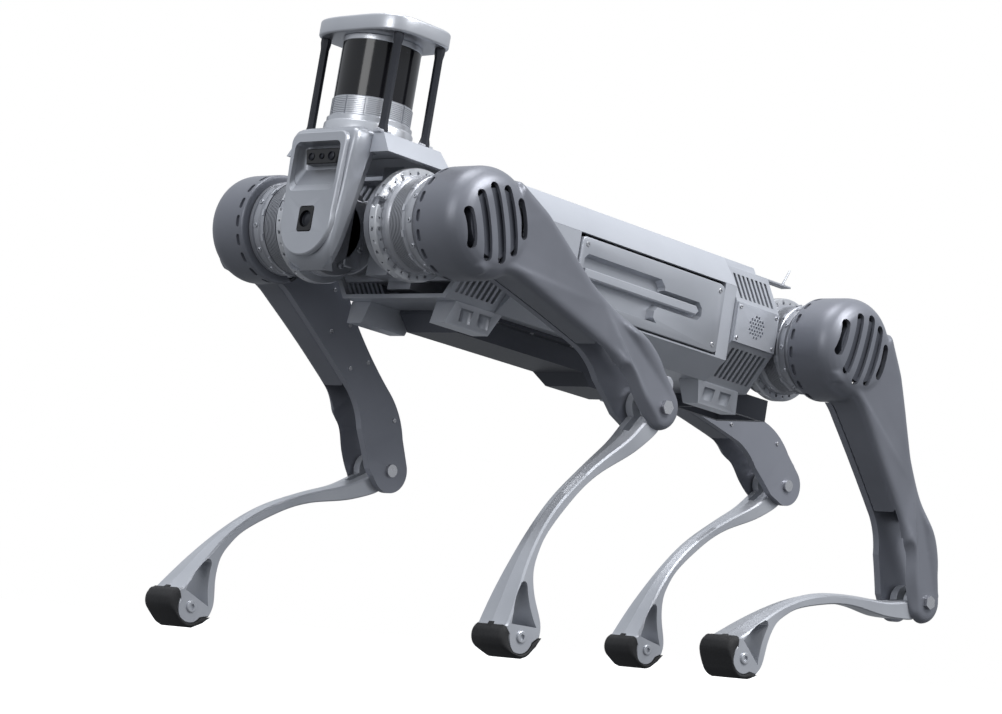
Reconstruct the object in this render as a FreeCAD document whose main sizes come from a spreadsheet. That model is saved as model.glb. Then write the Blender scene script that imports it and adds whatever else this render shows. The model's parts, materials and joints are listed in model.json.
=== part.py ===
"""Four-legged walking robot with a sensor mast, as a parametric document of 60 separate parts.

Frames, all in millimetres:
  row     +X forward, +Y to the robot's left, +Z up, the four feet standing on z = 0
  trunk   origin in the middle of the body at hip height, pitched nose up in the row
  thigh   origin on the hip pivot in the middle plane of the leg, knee at z = -thigh_len
  calf    origin on the knee pivot, foot bolt at z = -calf_len, shin bowed towards +x
The crank turns with the calf and the push rod stays parallel to the thigh.
"""
import FreeCAD, Part
import math
import os
import re

doc = FreeCAD.newDocument("robot_dog")
Vector, Rotation, Placement = FreeCAD.Vector, FreeCAD.Rotation, FreeCAD.Placement

# ---------------------------------------------------------------- driving dimensions
SIZES = {
    # stance
    "pitch": 5.57, "body_height": 456.3, "body_forward": 122.64, "foot_radius": 25,
    "thigh_len": 350, "calf_len": 350, "hip_x": 328.5, "roll_axis_y": 72, "leg_offset": 119.7,
    # trunk shell
    "tub_half_len": 188, "body_half_len": 269.5, "side_y": 122, "wall": 6,
    "tub_top": 50, "tub_low": -45, "floor_y": 92, "floor_z": -72, "cover_y": 92, "cover_z": 88,
    "payload_x": 140, "payload_y": 60, "payload_r": 2.5,
    # end housings with their grilles
    "vent_y": 125, "vent_low": -20, "vent_high": 32, "vent_top_y": 97, "vent_top": 79,
    "vent_floor_y": 90, "vent_floor": -72, "slot_wide": 4.5, "slot_pitch": 8.5,
    # battery
    "pack_rear": -165, "pack_front": 95, "pack_low": -40, "pack_high": 46, "pack_deep": 90,
    # belly and pads
    "keel_rear": -130, "keel_front": 205, "keel_z": -98, "keel_y": 50,
    "pad_x": 214, "pad_y": 70, "pad_long": 76, "pad_wide": 44, "pad_z": -100,
    # head and sensor tower
    "head_front": 424, "head_rear": 384, "head_y": 57, "head_top": 101, "head_low": -70,
    "face_y": 48.5, "face_high": 90, "face_low": -57,
    "bar_y": 26, "bar_low": 54, "bar_high": 72, "lens_y": 11.5, "lens_low": -28, "lens_high": 0,
    "mast_x": 352, "deck_z": 96, "guard_z": 217, "guard_thick": 20, "guard_x": 56, "guard_y": 78,
    "post_x": 33.5, "post_y": 64, "post_r": 5.5, "lidar_r": 47.5,
    # hip unit
    "drum_r": 58, "ring_r": 65, "port_r": 30, "roll_shaft_r": 14, "motor_r": 56, "seam_y": 150,
    "running": 0.05, "gap": 0.6,
    # thigh
    "ball_r": 66, "ball_out": 33.3, "ball_wall": 5, "knee_r": 28, "plate_in": 20, "plate_out": 30,
    "slot_half": 5.5,
    # knee linkage
    "link_r": 36, "link_pin_r": 4, "knee_pin_r": 5.5, "shaft_r": 10,
    # shin and foot
    "shin_half": 12, "foot_half": 24.5, "sole_half": 26, "heel_r": 20, "sole_lobe_r": 15.5,
}
HIP_ANGLES = {"fl": 65.4, "fr": 44.7, "rl": 34.7, "rr": 69.6}   # thigh against the trunk's down axis

sheet = doc.addObject("Spreadsheet::Sheet", "dims")
for row, (alias, number) in enumerate(SIZES.items(), start=1):
    sheet.set("A%d" % row, alias)
    sheet.set("B%d" % row, str(number))
    sheet.setAlias("B%d" % row, alias)
doc.recompute()


def value(text):
    """The number that an expression in sheet names stands for."""
    numbers = re.sub(r"[a-z][a-z_]+", lambda word: repr(float(SIZES[word.group(0)])), str(text))
    return FreeCAD.Units.Quantity("(" + numbers + ")").Value


def bound(text):
    """The same expression with every sheet name pointing at its cell."""
    return re.sub(r"[a-z][a-z_]+", lambda word: "dims." + word.group(0), str(text))


# ---------------------------------------------------------------- primitives and booleans
parts = []          # finished sub-parts, in the order they are made
serial = [0]


def new(kind, hint):
    serial[0] += 1
    return doc.addObject(kind, "%s_%03d" % (hint, serial[0]))


def put(item, corner):
    for axis, text in zip("xyz", corner):
        item.setExpression("Placement.Base." + axis, bound(text))


def box(x, y, z):
    """A block between low and high sheet expressions along each axis."""
    item = new("Part::Box", "block")
    for prop, span in (("Length", x), ("Width", y), ("Height", z)):
        item.setExpression(prop, bound("(%s) - (%s)" % (span[1], span[0])))
    put(item, (x[0], y[0], z[0]))
    return item


def rod(axis, centre, span, radius):
    """A cylinder along x, y or z; centre holds the two other coordinates."""
    item = new("Part::Cylinder", "round")
    item.setExpression("Radius", bound(radius))
    item.setExpression("Height", bound("(%s) - (%s)" % (span[1], span[0])))
    turn = {"x": Rotation(Vector(0, 1, 0), 90), "y": Rotation(Vector(1, 0, 0), -90), "z": Rotation()}
    item.Placement = Placement(Vector(), turn[axis])
    low = {"x": (span[0], centre[0], centre[1]), "y": (centre[0], span[0], centre[1]),
           "z": (centre[0], centre[1], span[0])}
    put(item, low[axis])
    return item


def ball(centre, radius):
    """A sphere about a point."""
    item = new("Part::Sphere", "ball")
    item.setExpression("Radius", bound(radius))
    put(item, centre)
    return item


def taper(x_low, y_low, z_low, x_high, y_high, z_high):
    """A block whose x and y spans change between a low and a high level."""
    item = new("Part::Wedge", "taper")
    pairs = (("Ymin", z_low), ("Ymax", z_high), ("Xmin", x_low[0]), ("Xmax", x_low[1]),
             ("X2min", x_high[0]), ("X2max", x_high[1]), ("Zmin", "-(%s)" % y_low[1]),
             ("Zmax", "-(%s)" % y_low[0]), ("Z2min", "-(%s)" % y_high[1]), ("Z2max", "-(%s)" % y_high[0]))
    for prop, text in pairs:
        item.setExpression(prop, bound(text))
    item.Placement = Placement(Vector(), Rotation(Vector(1, 0, 0), 90))
    return item


def fuse(*items):
    item = new("Part::MultiFuse", "union")
    item.Shapes = list(items)
    return item


def cut(base, *tools):
    item = new("Part::Cut", "cut")
    item.Base = base
    item.Tool = tools[0] if len(tools) == 1 else fuse(*tools)
    return item


def common(*items):
    item = new("Part::MultiCommon", "overlap")
    item.Shapes = list(items)
    return item


def placed(item, offset, angle):
    """The item turned about its own y axis and moved, as one shape."""
    group = new("Part::Compound", "placed")
    group.Links = [item]
    group.Placement = Placement(Vector(*offset), Rotation(Vector(0, 1, 0), angle))
    return group


def rounded(base, radius, wanted):
    """Fillet the edges of base that wanted(edge) picks."""
    doc.recompute()
    item = new("Part::Fillet", "rounded")
    item.Base = base
    size = value(radius)
    item.Edges = [(n, size, size) for n, edge in enumerate(base.Shape.Edges, start=1) if wanted(edge)]
    return item


def both(span):
    """Symmetric span of a half width."""
    return ("-(%s)" % span, span)


def mirrored(side, low, high):
    """A y span for a left part, or its mirror image for a right part."""
    return (low, high) if side > 0 else ("-(%s)" % high, "-(%s)" % low)


def finish(item, name, frame):
    item.Label = name
    item.Placement = frame
    parts.append(item)


def vertical(edge):
    first, last = edge.Vertexes[0].Point, edge.Vertexes[-1].Point
    return abs(first.x - last.x) + abs(first.y - last.y) < 1e-6 and abs(first.z - last.z) > 1e-6


# ---------------------------------------------------------------- frames
TRUNK = Placement(Vector(value("body_forward"), 0, value("body_height")),
                  Rotation(Vector(0, 1, 0), -value("pitch")))
LEGS = {"fl": (1, 1), "fr": (1, -1), "rl": (-1, 1), "rr": (-1, -1)}   # front or rear, left or right


def turned(frame, offset, angle):
    """A frame moved by offset and turned about its own y axis."""
    return frame.multiply(Placement(Vector(*offset), Rotation(Vector(0, 1, 0), angle)))


def leg_frames(leg):
    """Thigh, calf, crank and rod frames; the calf angle puts the sole on the ground."""
    end, side = LEGS[leg]
    hip = (end * value("hip_x"), side * value("roll_axis_y + leg_offset"), 0)
    thigh = turned(TRUNK, hip, HIP_ANGLES[leg])
    calf_len = value("calf_len")
    knee = thigh.multVec(Vector(0, 0, -value("thigh_len")))
    lean = -math.degrees(math.acos((knee.z - value("foot_radius")) / calf_len))
    fold = lean - (HIP_ANGLES[leg] - value("pitch"))
    calf = turned(thigh, (0, 0, -value("thigh_len")), fold)
    crank = turned(thigh, (0, 0, 0), fold)
    push = turned(crank, (0, 0, value("link_r")), -fold)
    return {"thigh": thigh, "calf": calf, "crank": crank, "rod": push, "fold": fold}


# ---------------------------------------------------------------- trunk
def chassis():
    """Open tub with the battery's bay, a spine at each end and the plates that carry the roll motors."""
    tub = fuse(box(both("tub_half_len"), both("side_y"), ("tub_low", "tub_top")),
               taper(both("tub_half_len"), both("floor_y"), "floor_z",
                     both("tub_half_len"), both("side_y"), "tub_low"))
    room = fuse(box(both("tub_half_len - wall"), both("side_y - wall"), ("tub_low", "tub_top + 1")),
                taper(both("tub_half_len - wall"), both("floor_y - wall"), "floor_z + wall",
                      both("tub_half_len - wall"), both("side_y - wall"), "tub_low"))
    bay = box(("pack_rear - 2", "pack_front + 2"), ("side_y - wall - 2", "side_y + 2"),
              ("pack_low - 3", "tub_top + 2"))
    frame = cut(tub, room, bay)
    ends = []
    for end in (1, -1):
        spine = box(mirrored(end, "tub_half_len - 1", "body_half_len - 6"), both(20), (-60, "tub_top - 1"))
        plate = common(box(mirrored(end, "body_half_len - 14", "body_half_len - 6"), both("side_y"), (-50, 50)),
                       hexagon(end, 6))
        ports = [rod("x", ("%d * roll_axis_y" % side, 0), mirrored(end, "body_half_len - 16", "body_half_len"),
                     "port_r") for side in (1, -1)]
        ends += [spine, cut(plate, *ports)]
    finish(fuse(frame, *ends), "chassis", TRUNK)


def top_cover():
    """Roof of the body with sloping sides and four payload holes; it runs on over the end housings."""
    shell = taper(both("tub_half_len"), both("side_y"), "tub_top + 0.2",
                  both("tub_half_len"), both("cover_y"), "cover_z")
    room = taper(both("tub_half_len - wall"), both("side_y - wall"), "tub_top - 1",
                 both("tub_half_len - wall"), both("cover_y - wall"), "cover_z - wall")
    roof = taper(both("body_half_len - 22"), both("cover_y + 4"), "vent_top + 0.2",
                 both("body_half_len - 24"), both("cover_y"), "cover_z")
    hollow = taper(both("tub_half_len - wall"), both("cover_y - wall"), "vent_top - 2",
                   both("tub_half_len - wall"), both("cover_y - wall - 2"), "cover_z - wall")
    holes = [rod("z", ("%d * payload_x" % x, "%d * payload_y" % y), ("cover_z - wall - 1", "cover_z + 1"),
                 "payload_r") for x in (-1, 1) for y in (-1, 1)]
    finish(cut(fuse(cut(shell, room), roof), hollow, *holes), "top_cover", TRUNK)


def hexagon(end, inset):
    """The end housing's six-sided block, or its hollow when inset is over zero."""
    spare = 2 if inset else 0
    span = mirrored(end, "tub_half_len + 0.4 - %d" % spare, "body_half_len + %d" % spare)
    side = both("vent_y - %g" % inset)
    return fuse(box(span, side, ("vent_low", "vent_high")),
                taper(span, side, "vent_high", span, both("vent_top_y - %g" % inset), "vent_top - %g" % inset),
                taper(span, both("vent_floor_y - %g" % inset), "vent_floor + %g" % inset,
                      span, side, "vent_low"))


def end_housings():
    """Six-sided rings at the front and rear, slotted above and below."""
    rings = []
    for end in (1, -1):
        slots = []
        for n in range(8):
            middle = "%d * (tub_half_len + 12 + %d * slot_pitch)" % (end, n)
            span = ("%s - slot_wide / 2" % middle, "%s + slot_wide / 2" % middle)
            slots += [box(span, both("vent_y + 2"), ("vent_high + 6", "vent_top - 8")),
                      box(span, both("vent_y + 2"), ("vent_floor + 9", "vent_low - 6"))]
        rings.append(cut(hexagon(end, 0), hexagon(end, 5), *slots))
    finish(fuse(*rings), "end_housings", TRUNK)


def fan_plates():
    """A cover with a round grille of small holes on each side of both end housings."""
    plates = []
    for end in (1, -1):
        for side in (1, -1):
            centre = "%d * (tub_half_len + 41)" % end
            plate = box(("%s - 39" % centre, "%s + 39" % centre),
                        mirrored(side, "vent_y + 0.1", "vent_y + 2.6"), ("vent_low + 1", "vent_high - 1"))
            spots = [(5 * column + 2.5 * (row % 2), 4.4 * row)
                     for row in range(-3, 4) for column in range(-3, 4)]
            holes = [rod("y", ("%s + %g" % (centre, across), "6 + %g" % up),
                         mirrored(side, "vent_y - 1", "vent_y + 4"), 1.7)
                     for across, up in spots if math.hypot(across, up) < 15]
            plates.append(cut(plate, *holes))
    finish(fuse(*plates), "fan_plates", TRUNK)


def roll_motors():
    """Four hip roll motors lying fore and aft in the end housings, each with its output shaft."""
    motors = []
    for end, side in LEGS.values():
        centre = ("%d * roll_axis_y" % side, 0)
        motors.append(fuse(
            rod("x", centre, mirrored(end, "tub_half_len + 4", "body_half_len - 20"), 44),
            rod("x", centre, mirrored(end, "body_half_len - 20.1", "body_half_len - 12"), "port_r - 0.5"),
            rod("x", centre, mirrored(end, "body_half_len - 13", "body_half_len + 3"), "roll_shaft_r")))
    finish(fuse(*motors), "roll_motors", TRUNK)


def battery_case():
    """The pack itself, with its blind-mating plug on the inner end."""
    block = box(("pack_rear", "pack_front"), ("-pack_deep", "side_y - wall - 3"), ("pack_low", "pack_high"))
    plug = box(("pack_rear + 20", "pack_rear + 70"), ("-pack_deep - 8", "-pack_deep + 1"), both(12))
    finish(fuse(block, plug), "battery_case", TRUNK)


def battery_door():
    """Outer face of the battery, with a stepped recess round its handle bar."""
    face = box(("pack_rear", "pack_front"), ("side_y - wall - 2.9", "side_y + 3"), ("pack_low", "pack_high"))
    recess = box(("pack_rear + 42", "pack_front - 12"), ("side_y - 4", "side_y + 5"), (-24, 22))
    hollow = box(("pack_rear + 75", "pack_front - 60"), ("side_y - 4", "side_y + 5"), (-34, 34))
    bar = box(("pack_rear + 38", "pack_front - 8"), ("side_y - 1", "side_y + 3"), (-8, 6))
    posts = [box(("pack_rear + %d" % x, "pack_rear + %d" % (x + 12)), ("side_y - 8", "side_y + 1"), (-8, 6))
             for x in (46, 226)]
    finish(fuse(cut(face, recess, hollow), bar, *posts), "battery_door", TRUNK)


def control_board():
    """Main computer board standing in front of the battery, with its heat spreader and stand-offs."""
    board = box((108, 172), both(70), ("floor_z + 16", "floor_z + 18"))
    spreader = box((118, 162), both(40), ("floor_z + 17.9", "floor_z + 40"))
    studs = [rod("z", (x, y), ("floor_z + wall + 0.1", "floor_z + 16.1"), 4)
             for x in (114, 166) for y in (-62, 62)]
    finish(fuse(board, spreader, *studs), "control_board", TRUNK)


def belly_pan():
    flange = box(("keel_rear", 176), both(74), ("floor_z - 4", "floor_z - 0.1"))
    keel = taper(("keel_rear + 12", "keel_front - 6"), both("keel_y - 6"), "keel_z",
                 ("keel_rear", "keel_front"), both("keel_y + 6"), "floor_z - 4")
    neck = box((170, "keel_front"), both("keel_y + 6"), ("floor_z - 4.1", "floor_z - 0.1"))
    rear = taper(("keel_rear + 10", -40), both("keel_y - 12"), "keel_z - 14",
                 ("keel_rear + 4", -20), both("keel_y - 6"), "keel_z")
    finish(fuse(flange, keel, neck, rear), "belly_pan", TRUNK)


def rest_pads():
    """Four pads that the body lies on; each hangs on a sloping arm and has two scooped pockets."""
    pads = []
    for end, side in LEGS.values():
        x = mirrored(end, "pad_x - pad_long / 2", "pad_x + pad_long / 2")
        foot = mirrored(end, "pad_x - pad_long / 2 + 12", "pad_x + pad_long / 2 + 8")
        y = mirrored(side, "pad_y - pad_wide / 2 + 10", "pad_y + pad_wide / 2")
        body = taper(foot, mirrored(side, "pad_y - pad_wide / 2 + 12", "pad_y + pad_wide / 2 - 6"), "pad_z",
                     x, y, "vent_floor - 0.1")
        scoops = [rod("z", ("%d * (pad_x + %g)" % (end, shift), "%d * (pad_y + pad_wide / 2 - 1)" % side),
                      ("pad_z + 6", "vent_floor - 6"), 10) for shift in (-13, 17)]
        pads.append(cut(body, *scoops))
    finish(fuse(*pads), "rest_pads", TRUNK)


def rear_guard():
    """A U-shaped hoop under the tail that keeps the connectors off the ground."""
    rail = [box(("-body_half_len - 96", "-body_half_len - 0.5"), mirrored(side, 34, 42), (-88, -60))
            for side in (1, -1)]
    cross = box(("-body_half_len - 96", "-body_half_len - 86"), both(42), (-88, -60))
    plate = box(("-body_half_len - 4", "-body_half_len - 0.5"), both(42), (-88, -40))
    tongue = box(("-body_half_len - 2", "-body_half_len + 3"), both(30), (-80, -72))
    finish(fuse(*rail, cross, plate, tongue), "rear_guard", TRUNK)


# ---------------------------------------------------------------- head and sensor tower
def head_shell():
    """Hollow head with a bevelled top and chin, hollowed behind where the hips roll past it."""
    front = "head_front - 6"
    block = fuse(taper(("head_rear + 14", "head_front - 10"), both("head_y - 26"), "head_low",
                       ("head_rear + 9", front), both("head_y - 10"), "head_low + 40"),
                 taper(("head_rear + 9", front), both("head_y - 10"), "head_low + 40",
                       ("head_rear - 5", front), both("head_y"), "head_top - 13"),
                 taper(("head_rear - 5", front), both("head_y"), "head_top - 13",
                       ("head_rear - 7", "head_front - 16"), both("head_y - 10"), "head_top"))
    room = fuse(box(("head_rear - 40", "head_front - 14"), both("head_y - 17"),
                    ("head_low + 40", "head_top - 14")),
                taper(("head_rear - 40", "head_front - 18"), both("head_y - 34"), "head_low + 6",
                      ("head_rear - 40", "head_front - 14"), both("head_y - 17"), "head_low + 40"))
    through = ("head_front - 20", "head_front + 1")
    bar = box(through, both("bar_y + 0.3"), ("bar_low - 0.3", "bar_high + 0.3"))
    lens = box(through, both("lens_y + 0.3"), ("lens_low - 0.3", "lens_high + 0.3"))
    deck = box(("head_rear - 40", "mast_x + 30.4"), both("head_y + 1"), ("deck_z - 26.4", "head_top + 1"))
    mast = rod("z", ("mast_x", 0), ("deck_z - 1", "head_top + 1"), "lidar_r + 5.9")
    hips = [ball(("hip_x", "%d * roll_axis_y" % side, 0), "ring_r - 3.5") for side in (1, -1)]
    finish(cut(block, room, bar, lens, deck, mast, *hips), "head_shell", TRUNK)


def face_outline():
    """The face panel seen from the front, as (y, z): straight top, tapering sides and a round chin."""
    wide, low = value("face_y"), value("face_low")
    top, shoulder = value("face_high"), value("face_high") - 12
    return [line((wide - 12, top), (12 - wide, top)),
            arc((12 - wide, top), (3.5 - wide, top - 3.5), (-wide, shoulder)),
            line((-wide, shoulder), (5 - wide, -8)),
            arc((5 - wide, -8), (17 - wide, low + 14), (0, low)),
            arc((0, low), (wide - 17, low + 14), (wide - 5, -8)),
            line((wide - 5, -8), (wide, shoulder)),
            arc((wide, shoulder), (wide - 3.5, top - 3.5), (wide - 12, top))]


def face_plate():
    plate = new("Part::Compound", "front_view")
    plate.Links = [side_plate("face", face_outline(), ("0 - head_front", "5.8 - head_front"))]
    plate.Placement = Placement(Vector(), Rotation(Vector(0, 0, 1), 90))
    window = box(("head_front - 12", "head_front + 1"), both("bar_y + 11"), ("bar_low - 34", "bar_high + 6"))
    lens = box(("head_front - 12", "head_front + 1"), both("lens_y + 1.5"), ("lens_low - 2", "lens_high + 2"))
    finish(cut(plate, window, lens), "face_plate", TRUNK)


def depth_camera():
    bar = box(("head_front - 26", "head_front - 8"), both("bar_y"), ("bar_low", "bar_high"))
    eyes = [rod("x", (y, 63), ("head_front - 9", "head_front - 6"), radius)
            for y, radius in ((-17, 4.5), (2, 4), (16, 5.5))]
    stem = box(("head_front - 34", "head_front - 25"), both(8), (56, 70))
    finish(fuse(bar, stem, *eyes), "depth_camera", TRUNK)


def front_camera():
    body = box(("head_front - 30", "head_front - 4"), both("lens_y"), ("lens_low", "lens_high"))
    finish(fuse(body, rod("x", (0, -14), ("head_front - 5", "head_front - 1"), 9.5)), "front_camera", TRUNK)


def sensor_deck():
    """Bevelled deck over the front hips, open for the head in front, on a stalk behind."""
    plate = taper(("mast_x - 60", "mast_x + 42"), both("guard_y + 12"), "deck_z - 24",
                  ("mast_x - 52", "mast_x + 40"), both("guard_y - 4"), "deck_z")
    under = taper(("mast_x - 54", "mast_x + 14"), both("guard_y"), "deck_z - 26",
                  ("mast_x - 46", "mast_x + 12"), both("guard_y - 16"), "deck_z - 7")
    stalk = box(("mast_x - 84", "mast_x - 50"), both(18), (-52, "deck_z - 7"))
    head = box(("mast_x + 28", "mast_x + 44"), both("head_y + 0.4"), ("deck_z - 30", "deck_z + 1"))
    housing = box(("mast_x - 86", "body_half_len"), both(20), (-60, "vent_top + 0.1"))
    finish(cut(fuse(cut(plate, under, head), stalk), housing), "sensor_deck", TRUNK)


def lidar_housing():
    centre = ("mast_x", 0)
    base = fuse(rod("z", centre, ("deck_z + 0.1", "deck_z + 22"), "lidar_r + 5.5"),
                rod("z", centre, ("deck_z + 20", "deck_z + 46"), "lidar_r + 1"),
                rod("z", centre, ("deck_z + 40", "guard_z - 4"), "lidar_r - 8"))
    cap = rod("z", centre, ("guard_z - 8", "guard_z - 0.1"), "lidar_r")
    finish(fuse(base, cap), "lidar_housing", TRUNK)


def lidar_window():
    centre = ("mast_x", 0)
    finish(cut(rod("z", centre, ("deck_z + 46.1", "guard_z - 8.1"), "lidar_r"),
               rod("z", centre, ("deck_z + 45", "guard_z - 7"), "lidar_r - 7.9")), "lidar_window", TRUNK)


def guard_plate():
    slab = box(("mast_x - guard_x", "mast_x + guard_x"), both("guard_y"), ("guard_z", "guard_z + guard_thick"))
    finish(rounded(slab, "guard_x - 8", vertical), "guard_plate", TRUNK)


def guard_posts():
    posts = []
    for end, side in LEGS.values():
        centre = ("mast_x + %d * post_x" % end, "%d * post_y" % side)
        posts.append(rod("z", centre, ("deck_z + 0.1", "guard_z - 0.1"), "post_r"))
    finish(fuse(*posts), "guard_posts", TRUNK)


# ---------------------------------------------------------------- hip unit, in the trunk frame
def hip_carrier(leg):
    """Bracket on the roll motor's shaft that holds the thigh motor's drum."""
    end, side = LEGS[leg]
    roll = "%d * roll_axis_y" % side
    hip = "%d * hip_x" % end
    reach = mirrored(end, "body_half_len + 0.4", "body_half_len + 13")
    inboard = box(mirrored(end, "body_half_len", "body_half_len + 14"),
                  mirrored(side, "roll_axis_y - 50", "roll_axis_y + 16"), both(50))
    flange = common(rod("x", (roll, 0), reach, 46), inboard)
    bridge = box(mirrored(end, "body_half_len + 2", "hip_x - 20"),
                 mirrored(side, "roll_axis_y - 16", "roll_axis_y + 16"), both(44))
    drum = rod("y", (hip, 0), mirrored(side, "roll_axis_y - 16", "roll_axis_y + 6"), "drum_r")
    ring = rod("y", (hip, 0), mirrored(side, "roll_axis_y + 4", "roll_axis_y + 16"), "ring_r")
    bore = rod("x", (roll, 0), mirrored(end, "body_half_len - 14", "body_half_len + 4"),
               "roll_shaft_r + running")
    seat = rod("y", (hip, 0), mirrored(side, "roll_axis_y + 8", "roll_axis_y + 20"), "motor_r - 4")
    finish(cut(fuse(flange, bridge, drum, ring), bore, seat), leg + "_hip_carrier", TRUNK)


def thigh_motor(leg):
    """Finned motor between the carrier's ring and the thigh, with its output shaft."""
    end, side = LEGS[leg]
    spans = [("roll_axis_y + 8.1", "roll_axis_y + 18", "motor_r - 4.1"),
             ("roll_axis_y + 16.1", "roll_axis_y + 28", "motor_r + 2"),
             ("roll_axis_y + 16.1", "seam_y - gap", "motor_r - 3"),
             ("seam_y - 20", "seam_y - gap", "motor_r + 1"),
             ("seam_y - 5", "seam_y + 9", "shaft_r + 4")]
    spans += [("roll_axis_y + %g" % (29 + 3.2 * n), "roll_axis_y + %g" % (30.8 + 3.2 * n), "motor_r + 1")
              for n in range(9)]
    discs = [rod("y", ("%d * hip_x" % end, 0), mirrored(side, low, high), radius)
             for low, high, radius in spans]
    finish(fuse(*discs), leg + "_thigh_motor", TRUNK)


# ---------------------------------------------------------------- thigh, in the thigh frame
def arc(first, middle, last):
    """An arc through three points of a side view."""
    points = [Vector(x, z, 0) for x, z in (first, middle, last)]
    return Part.Arc(*points)


def line(first, last):
    return Part.LineSegment(Vector(*first, 0), Vector(*last, 0))


def side_plate(name, outline, y):
    """A plate with a side view of lines and arcs, between two y levels."""
    body = doc.addObject("PartDesign::Body", name)
    plane = [f for f in body.Origin.OriginFeatures if f.Role == "XZ_Plane"][0]
    drawing = body.newObject("Sketcher::SketchObject", name + "_outline")
    drawing.AttachmentSupport = [(plane, "")]
    drawing.MapMode = "FlatFace"
    for geometry in outline:
        drawing.addGeometry(geometry, False)
    pad = body.newObject("PartDesign::Pad", name + "_pad")
    pad.Profile = drawing
    pad.Reversed = True
    pad.setExpression("Length", bound("(%s) - (%s)" % (y[1], y[0])))
    drawing.setExpression("AttachmentOffset.Base.z", bound("-(%s)" % y[0]))
    body.Tip = pad
    return body


def thigh_outline():
    """The arm seen from the side: from the rear of the hip down, round the knee and back up the front."""
    knee = -value("thigh_len")
    r = value("knee_r")
    low_rear, low_front = (-38, knee + 22), (r, knee + 22)
    return [line((-66, -4), (-65, -60)),
            arc((-65, -60), (-57, -118), (-49, -169)),
            arc((-49, -169), (-47.5, -212), (-50, -262)),
            arc((-50, -262), (-48.5, -300), low_rear),
            line(low_rear, (-r * 0.95, knee - r * 0.31)),
            arc((-r * 0.95, knee - r * 0.31), (0, knee - r), (r, knee)),
            line((r, knee), low_front),
            arc(low_front, (19, -300), (13, -279)),
            arc((13, -279), (3.5, -254), (1.5, -230)),
            arc((1.5, -230), (10, -165), (23, -82)),
            arc((23, -82), (32, -52), (60, -20)),
            line((60, -20), (60, -4)),
            line((60, -4), (-66, -4))]


def thigh_shell(leg):
    """Hollow hip dome with five vents, and the outer arm down to the knee."""
    side = LEGS[leg][1]
    rim = mirrored(side, "0 - plate_in", "plate_out")
    drum = rounded(rod("y", (0, 0), mirrored(side, "seam_y - roll_axis_y - leg_offset", "ball_out"), "ball_r"),
                   24, lambda edge: abs(edge.CenterOfMass.y - side * value("ball_out")) < 0.1)
    arm = side_plate(leg + "_arm", thigh_outline(), rim)
    room = mirrored(side, "0 - plate_in - 30", "plate_in")
    inner = mirrored(side, "seam_y - roll_axis_y - leg_offset + 9", "ball_out - ball_wall")
    hollow = [rounded(rod("y", (0, 0), inner, "ball_r - ball_wall"), 20,
                      lambda edge: abs(edge.CenterOfMass.y - side * value("ball_out - ball_wall")) < 0.1),
              taper((-46, 6), room, -260, (-45, 3), room, -215),
              taper((-45, 3), room, -215, (-45, 5), room, -165),
              taper((-45, 5), room, -165, (-49, 10), room, -125),
              taper((-49, 10), room, -125, (-56, 40), room, -30)]
    throat = mirrored(side, "seam_y - roll_axis_y - leg_offset - 1", "seam_y - roll_axis_y - leg_offset + 10")
    fork = box((-80, 60), mirrored(side, "0 - plate_in - 30", "plate_in"), (-420, -258))
    slots = []
    for shift, reach in ((42, 20), (21, 37), (0, 42), (-20, 37), (-40, 20)):
        deep = mirrored(side, "ball_out - 14", "ball_out + 3")
        slot = fuse(box(both("slot_half"), deep, both(reach)), rod("y", (0, reach), deep, "slot_half"),
                    rod("y", (0, -reach), deep, "slot_half"))
        diagonal = shift * math.sqrt(0.5)
        slots.append(placed(slot, (diagonal, 0, diagonal), -45))
    pin = rod("y", (0, "-thigh_len"), mirrored(side, "plate_in - 2", "plate_out + 2"), "knee_pin_r")
    shaft = rod("y", (0, 0), throat, "shaft_r + 4 + running")
    finish(cut(fuse(drum, arm), *hollow, *slots, shaft, fork, pin), leg + "_thigh_shell",
           FRAMES[leg]["thigh"])


def thigh_inner_cover(leg):
    """The arm's inner plate, which closes the linkage's room and holds the knee bolt."""
    side = LEGS[leg][1]
    thick = mirrored(side, "0 - plate_out", "0 - plate_in - 0.2")
    plate = side_plate(leg + "_inner_arm", thigh_outline(), thick)
    through = mirrored(side, "0 - plate_out - 2", "0 - plate_in + 2")
    hip_room = rod("y", (0, 0), through, "ball_r + 0.4")
    pin = rod("y", (0, "-thigh_len"), through, "knee_pin_r")
    finish(cut(plate, hip_room, pin), leg + "_thigh_inner_cover", FRAMES[leg]["thigh"])


def calf_motor(leg):
    """Drum inside the dome that turns the knee's crank."""
    side = LEGS[leg][1]
    finish(fuse(rod("y", (0, 0), mirrored(side, 14, "ball_out - ball_wall - 0.2"), "ball_r - 26"),
                rod("y", (0, 0), mirrored(side, 4.5, 15), "shaft_r")),
           leg + "_calf_motor", FRAMES[leg]["thigh"])


def knee_pin(leg):
    """Knee bolt: shank through both plates, hexagon head outside, round nut inside."""
    side = LEGS[leg][1]
    shank = rod("y", (0, "-thigh_len"), mirrored(side, "0 - plate_out", "plate_out"), "knee_pin_r")
    head = new("Part::Prism", "hexagon")
    head.Polygon = 6
    head.Circumradius = 9
    head.Height = 5
    span = mirrored(side, "plate_out", "plate_out + 5")
    head.Placement = Placement(Vector(0, value(span[0]), -value("thigh_len")), Rotation(Vector(1, 0, 0), -90))
    nut = rod("y", (0, "-thigh_len"), mirrored(side, "0 - plate_out - 4", "0 - plate_out"), 8)
    finish(fuse(shank, head, nut), leg + "_knee_pin", FRAMES[leg]["thigh"])


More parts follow.
